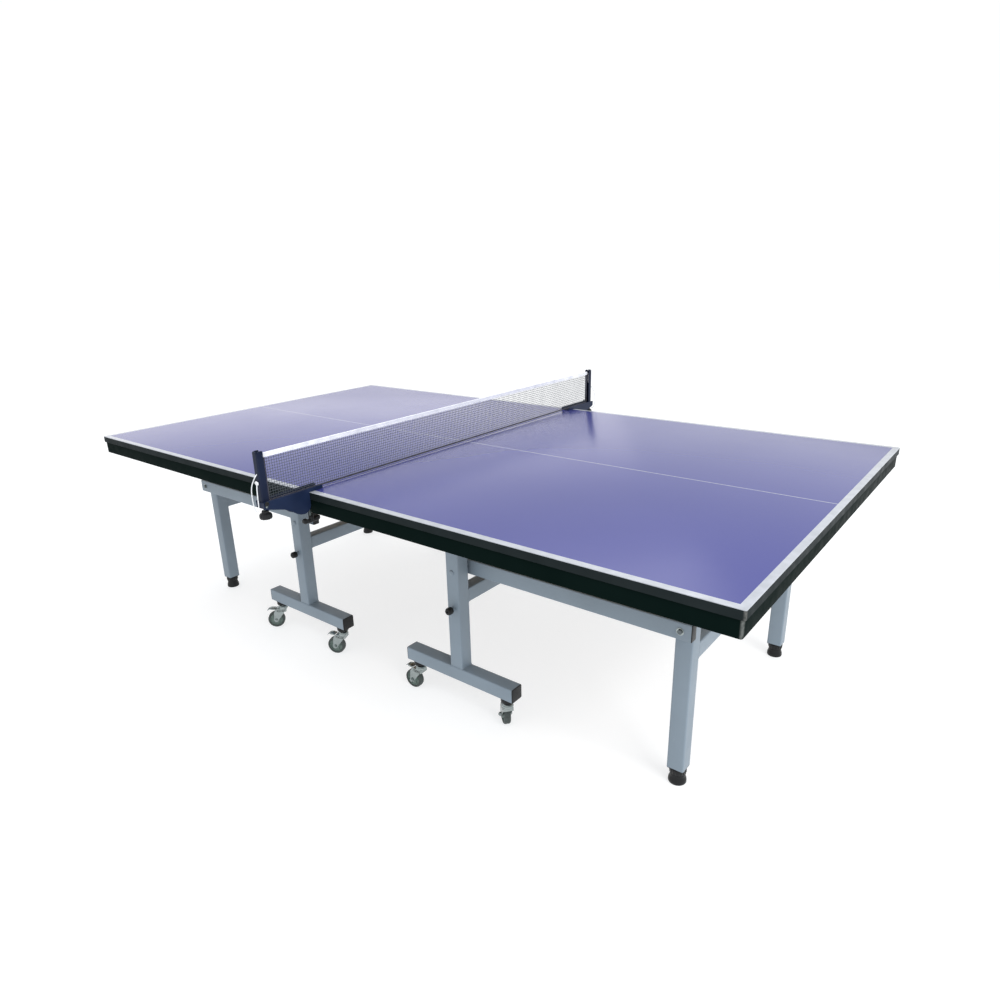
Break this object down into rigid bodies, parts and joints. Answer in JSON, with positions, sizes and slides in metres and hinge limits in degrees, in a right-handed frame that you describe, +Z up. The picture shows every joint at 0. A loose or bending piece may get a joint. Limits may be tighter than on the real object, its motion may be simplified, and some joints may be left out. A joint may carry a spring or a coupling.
{
  "type": "ping pong table",
  "caption": "Folding table tennis table in two wheeled halves, each tipping up on its base with legs that fold, and a clamp-on net.",
  "frame": {"origin": "on the floor, under the middle of the net", "axes": "+X along the table towards half b, +Y across it towards the far side, +Z up"},
  "size_m": [2.74, 1.8642, 0.92],
  "materials": {
    "playing_surface": "blue-violet lacquer with white court lines, semi-gloss",
    "black_steel": "black powder coat, semi-gloss",
    "grey_steel": "light blue-grey powder coat, satin",
    "navy_steel": "dark navy powder coat, satin",
    "bright_zinc": "bright zinc plate",
    "black_plastic": "moulded, fine texture",
    "grey_tyre": "grey-green rubber tread",
    "net_thread": "knotted dark net",
    "white_tape": "woven white tape and cord"
  },
  "bodies": {
    "base_a": {"base_frame_a": "grey_steel"},
    "top_a": {"top_panel_a": "playing_surface", "apron_frame_a": "black_steel", "inner_hinge_frame_a": "black_steel", "outer_hinge_bar_a": "black_steel"},
    "legs_a": {"end_leg_frame_a": "grey_steel"},
    "rail_a_near": {"link_rail_a_near": "grey_steel"},
    "level_foot_a_near": {"levelling_foot_a_near": "black_plastic"},
    "lock_a_near": {"lock_pin_a_near": "black_plastic"},
    "fork_a_near_1": {"caster_a_near_1_fork": "bright_zinc"},
    "wheel_a_near_1": {"caster_a_near_1_wheel": "grey_tyre"},
    "brake_a_near_1": {"caster_a_near_1_brake": "bright_zinc"},
    "fork_a_near_2": {"caster_a_near_2_fork": "bright_zinc"},
    "wheel_a_near_2": {"caster_a_near_2_wheel": "grey_tyre"},
    "brake_a_near_2": {"caster_a_near_2_brake": "bright_zinc"},
    "rail_a_far": {"link_rail_a_far": "grey_steel"},
    "level_foot_a_far": {"levelling_foot_a_far": "black_plastic"},
    "lock_a_far": {"lock_pin_a_far": "black_plastic"},
    "fork_a_far_1": {"caster_a_far_1_fork": "bright_zinc"},
    "wheel_a_far_1": {"caster_a_far_1_wheel": "grey_tyre"},
    "brake_a_far_1": {"caster_a_far_1_brake": "bright_zinc"},
    "fork_a_far_2": {"caster_a_far_2_fork": "bright_zinc"},
    "wheel_a_far_2": {"caster_a_far_2_wheel": "grey_tyre"},
    "brake_a_far_2": {"caster_a_far_2_brake": "bright_zinc"},
    "base_b": {"base_frame_b": "grey_steel"},
    "top_b": {"top_panel_b": "playing_surface", "apron_frame_b": "black_steel", "inner_hinge_frame_b": "black_steel", "outer_hinge_bar_b": "black_steel"},
    "legs_b": {"end_leg_frame_b": "grey_steel"},
    "rail_b_near": {"link_rail_b_near": "grey_steel"},
    "level_foot_b_near": {"levelling_foot_b_near": "black_plastic"},
    "lock_b_near": {"lock_pin_b_near": "black_plastic"},
    "fork_b_near_1": {"caster_b_near_1_fork": "bright_zinc"},
    "wheel_b_near_1": {"caster_b_near_1_wheel": "grey_tyre"},
    "brake_b_near_1": {"caster_b_near_1_brake": "bright_zinc"},
    "fork_b_near_2": {"caster_b_near_2_fork": "bright_zinc"},
    "wheel_b_near_2": {"caster_b_near_2_wheel": "grey_tyre"},
    "brake_b_near_2": {"caster_b_near_2_brake": "bright_zinc"},
    "rail_b_far": {"link_rail_b_far": "grey_steel"},
    "level_foot_b_far": {"levelling_foot_b_far": "black_plastic"},
    "lock_b_far": {"lock_pin_b_far": "black_plastic"},
    "fork_b_far_1": {"caster_b_far_1_fork": "bright_zinc"},
    "wheel_b_far_1": {"caster_b_far_1_wheel": "grey_tyre"},
    "brake_b_far_1": {"caster_b_far_1_brake": "bright_zinc"},
    "fork_b_far_2": {"caster_b_far_2_fork": "bright_zinc"},
    "wheel_b_far_2": {"caster_b_far_2_wheel": "grey_tyre"},
    "brake_b_far_2": {"caster_b_far_2_brake": "bright_zinc"},
    "net_set": {"net_mesh": "net_thread", "net_tape": "white_tape", "net_post_near": "navy_steel", "net_post_far": "navy_steel", "net_bracket_near": "navy_steel", "net_bracket_far": "navy_steel", "net_cord_near": "white_tape", "net_cord_far": "white_tape"},
    "clamp_screw_near": {"net_clamp_screw_near": "black_plastic"},
    "post_knob_near": {"net_post_knob_near": "black_plastic"},
    "clamp_screw_far": {"net_clamp_screw_far": "black_plastic"},
    "post_knob_far": {"net_post_knob_far": "black_plastic"}
  },
  "joints": [
    {"name": "halves_apart", "type": "slide", "parent": "base_a", "child": "base_b", "axis": [1, 0, 0], "range_m": [0, 0.6]},
    {"name": "tip_up_a", "type": "hinge", "parent": "base_a", "child": "top_a", "pos_m": [-0.396, 0, 0.703], "axis": [0, 1, 0], "range_deg": [0, 90]},
    {"name": "legs_fold_a", "type": "hinge", "parent": "top_a", "child": "legs_a", "pos_m": [-1.122, 0, 0.703], "axis": [0, 1, 0], "range_deg": [-90, 0]},
    {"name": "rail_swing_a_near", "type": "hinge", "parent": "base_a", "child": "rail_a_near", "pos_m": [-0.396, -0.467, 0.506], "axis": [0, 1, 0], "range_deg": [0, 90]},
    {"name": "foot_level_a_near", "type": "slide", "parent": "legs_a", "child": "level_foot_a_near", "axis": [0, 0, -1], "range_m": [0, 0.015]},
    {"name": "lock_push_a_near", "type": "slide", "parent": "base_a", "child": "lock_a_near", "axis": [0, 1, 0], "range_m": [0, 0.01]},
    {"name": "swivel_a_near_1", "type": "hinge", "parent": "base_a", "child": "fork_a_near_1", "pos_m": [-0.586, -0.521, 0.1], "axis": [0, 0, 1], "continuous": true},
    {"name": "roll_a_near_1", "type": "hinge", "parent": "fork_a_near_1", "child": "wheel_a_near_1", "pos_m": [-0.60823, -0.54402, 0.034], "axis": [-0.7193, 0.6947, 0], "continuous": true},
    {"name": "brake_press_a_near_1", "type": "hinge", "parent": "fork_a_near_1", "child": "brake_a_near_1", "pos_m": [-0.60788, -0.54366, 0.082], "axis": [0.7193, -0.6947, 0], "range_deg": [0, 12]},
    {"name": "swivel_a_near_2", "type": "hinge", "parent": "base_a", "child": "fork_a_near_2", "pos_m": [-0.206, -0.521, 0.1], "axis": [0, 0, 1], "continuous": true},
    {"name": "roll_a_near_2", "type": "hinge", "parent": "fork_a_near_2", "child": "wheel_a_near_2", "pos_m": [-0.235, -0.53452, 0.034], "axis": [-0.4226, 0.9063, 0], "continuous": true},
    {"name": "brake_press_a_near_2", "type": "hinge", "parent": "fork_a_near_2", "child": "brake_a_near_2", "pos_m": [-0.23455, -0.53431, 0.082], "axis": [0.4226, -0.9063, 0], "range_deg": [0, 12]},
    {"name": "rail_swing_a_far", "type": "hinge", "parent": "base_a", "child": "rail_a_far", "pos_m": [-0.396, 0.467, 0.506], "axis": [0, 1, 0], "range_deg": [0, 90]},
    {"name": "foot_level_a_far", "type": "slide", "parent": "legs_a", "child": "level_foot_a_far", "axis": [0, 0, -1], "range_m": [0, 0.015]},
    {"name": "lock_push_a_far", "type": "slide", "parent": "base_a", "child": "lock_a_far", "axis": [0, -1, 0], "range_m": [0, 0.01]},
    {"name": "swivel_a_far_1", "type": "hinge", "parent": "base_a", "child": "fork_a_far_1", "pos_m": [-0.586, 0.521, 0.1], "axis": [0, 0, 1], "continuous": true},
    {"name": "roll_a_far_1", "type": "hinge", "parent": "fork_a_far_1", "child": "wheel_a_far_1", "pos_m": [-0.61751, 0.52656, 0.034], "axis": [0.1736, 0.9848, 0], "continuous": true},
    {"name": "brake_press_a_far_1", "type": "hinge", "parent": "fork_a_far_1", "child": "brake_a_far_1", "pos_m": [-0.61702, 0.52647, 0.082], "axis": [-0.1736, -0.9848, 0], "range_deg": [0, 12]},
    {"name": "swivel_a_far_2", "type": "hinge", "parent": "base_a", "child": "fork_a_far_2", "pos_m": [-0.206, 0.521, 0.1], "axis": [0, 0, 1], "continuous": true},
    {"name": "roll_a_far_2", "type": "hinge", "parent": "fork_a_far_2", "child": "wheel_a_far_2", "pos_m": [-0.23253, 0.50311, 0.034], "axis": [-0.5592, 0.829, 0], "continuous": true},
    {"name": "brake_press_a_far_2", "type": "hinge", "parent": "fork_a_far_2", "child": "brake_a_far_2", "pos_m": [-0.23211, 0.50338, 0.082], "axis": [0.5592, -0.829, 0], "range_deg": [0, 12]},
    {"name": "tip_up_b", "type": "hinge", "parent": "base_b", "child": "top_b", "pos_m": [0.396, 0, 0.703], "axis": [0, -1, 0], "range_deg": [0, 90]},
    {"name": "legs_fold_b", "type": "hinge", "parent": "top_b", "child": "legs_b", "pos_m": [1.122, 0, 0.703], "axis": [0, -1, 0], "range_deg": [-90, 0]},
    {"name": "rail_swing_b_near", "type": "hinge", "parent": "base_b", "child": "rail_b_near", "pos_m": [0.396, -0.467, 0.506], "axis": [0, -1, 0], "range_deg": [0, 90]},
    {"name": "foot_level_b_near", "type": "slide", "parent": "legs_b", "child": "level_foot_b_near", "axis": [0, 0, -1], "range_m": [0, 0.015]},
    {"name": "lock_push_b_near", "type": "slide", "parent": "base_b", "child": "lock_b_near", "axis": [0, 1, 0], "range_m": [0, 0.01]},
    {"name": "swivel_b_near_1", "type": "hinge", "parent": "base_b", "child": "fork_b_near_1", "pos_m": [0.206, -0.521, 0.1], "axis": [0, 0, 1], "continuous": true},
    {"name": "roll_b_near_1", "type": "hinge", "parent": "fork_b_near_1", "child": "wheel_b_near_1", "pos_m": [0.17408, -0.52323, 0.034], "axis": [-0.0698, 0.9976, 0], "continuous": true},
    {"name": "brake_press_b_near_1", "type": "hinge", "parent": "fork_b_near_1", "child": "brake_b_near_1", "pos_m": [0.17458, -0.5232, 0.082], "axis": [0.0698, -0.9976, 0], "range_deg": [0, 12]},
    {"name": "swivel_b_near_2", "type": "hinge", "parent": "base_b", "child": "fork_b_near_2", "pos_m": [0.586, -0.521, 0.1], "axis": [0, 0, 1], "continuous": true},
    {"name": "roll_b_near_2", "type": "hinge", "parent": "fork_b_near_2", "child": "wheel_b_near_2", "pos_m": [0.56113, -0.50086, 0.034], "axis": [0.6293, 0.7771, 0], "continuous": true},
    {"name": "brake_press_b_near_2", "type": "hinge", "parent": "fork_b_near_2", "child": "brake_b_near_2", "pos_m": [0.56152, -0.50118, 0.082], "axis": [-0.6293, -0.7771, 0], "range_deg": [0, 12]},
    {"name": "rail_swing_b_far", "type": "hinge", "parent": "base_b", "child": "rail_b_far", "pos_m": [0.396, 0.467, 0.506], "axis": [0, -1, 0], "range_deg": [0, 90]},
    {"name": "foot_level_b_far", "type": "slide", "parent": "legs_b", "child": "level_foot_b_far", "axis": [0, 0, -1], "range_m": [0, 0.015]},
    {"name": "lock_push_b_far", "type": "slide", "parent": "base_b", "child": "lock_b_far", "axis": [0, -1, 0], "range_m": [0, 0.01]},
    {"name": "swivel_b_far_1", "type": "hinge", "parent": "base_b", "child": "fork_b_far_1", "pos_m": [0.206, 0.521, 0.1], "axis": [0, 0, 1], "continuous": true},
    {"name": "roll_b_far_1", "type": "hinge", "parent": "fork_b_far_1", "child": "wheel_b_far_1", "pos_m": [0.17524, 0.51218, 0.034], "axis": [-0.2756, 0.9613, 0], "continuous": true},
    {"name": "brake_press_b_far_1", "type": "hinge", "parent": "fork_b_far_1", "child": "brake_b_far_1", "pos_m": [0.17572, 0.51232, 0.082], "axis": [0.2756, -0.9613, 0], "range_deg": [0, 12]},
    {"name": "swivel_b_far_2", "type": "hinge", "parent": "base_b", "child": "fork_b_far_2", "pos_m": [0.586, 0.521, 0.1], "axis": [0, 0, 1], "continuous": true},
    {"name": "roll_b_far_2", "type": "hinge", "parent": "fork_b_far_2", "child": "wheel_b_far_2", "pos_m": [0.55633, 0.53299, 0.034], "axis": [0.3746, 0.9272, 0], "continuous": true},
    {"name": "brake_press_b_far_2", "type": "hinge", "parent": "fork_b_far_2", "child": "brake_b_far_2", "pos_m": [0.55679, 0.5328, 0.082], "axis": [-0.3746, -0.9272, 0], "range_deg": [0, 12]},
    {"name": "net_lift_off", "type": "slide", "parent": "base_a", "child": "net_set", "axis": [0, 0, 1], "range_m": [0, 0.25]},
    {"name": "clamp_open_near", "type": "slide", "parent": "top_a", "child": "clamp_screw_near", "axis": [0, 0, -1], "range_m": [0, 0.02]},
    {"name": "post_knob_turn_near", "type": "hinge", "parent": "net_set", "child": "post_knob_near", "pos_m": [0, -0.9125, 0.72], "axis": [0, 0, 1], "range_deg": [0, 720]},
    {"name": "clamp_open_far", "type": "slide", "parent": "top_a", "child": "clamp_screw_far", "axis": [0, 0, -1], "range_m": [0, 0.02]},
    {"name": "post_knob_turn_far", "type": "hinge", "parent": "net_set", "child": "post_knob_far", "pos_m": [0, 0.9125, 0.72], "axis": [0, 0, 1], "range_deg": [0, 720]}
  ],
  "couplings": [
    {"joint": "legs_fold_a", "follows": "tip_up_a", "ratio": -1},
    {"joint": "rail_swing_a_near", "follows": "tip_up_a", "ratio": 1},
    {"joint": "rail_swing_a_far", "follows": "tip_up_a", "ratio": 1},
    {"joint": "legs_fold_b", "follows": "tip_up_b", "ratio": -1},
    {"joint": "rail_swing_b_near", "follows": "tip_up_b", "ratio": 1},
    {"joint": "rail_swing_b_far", "follows": "tip_up_b", "ratio": 1}
  ]
}
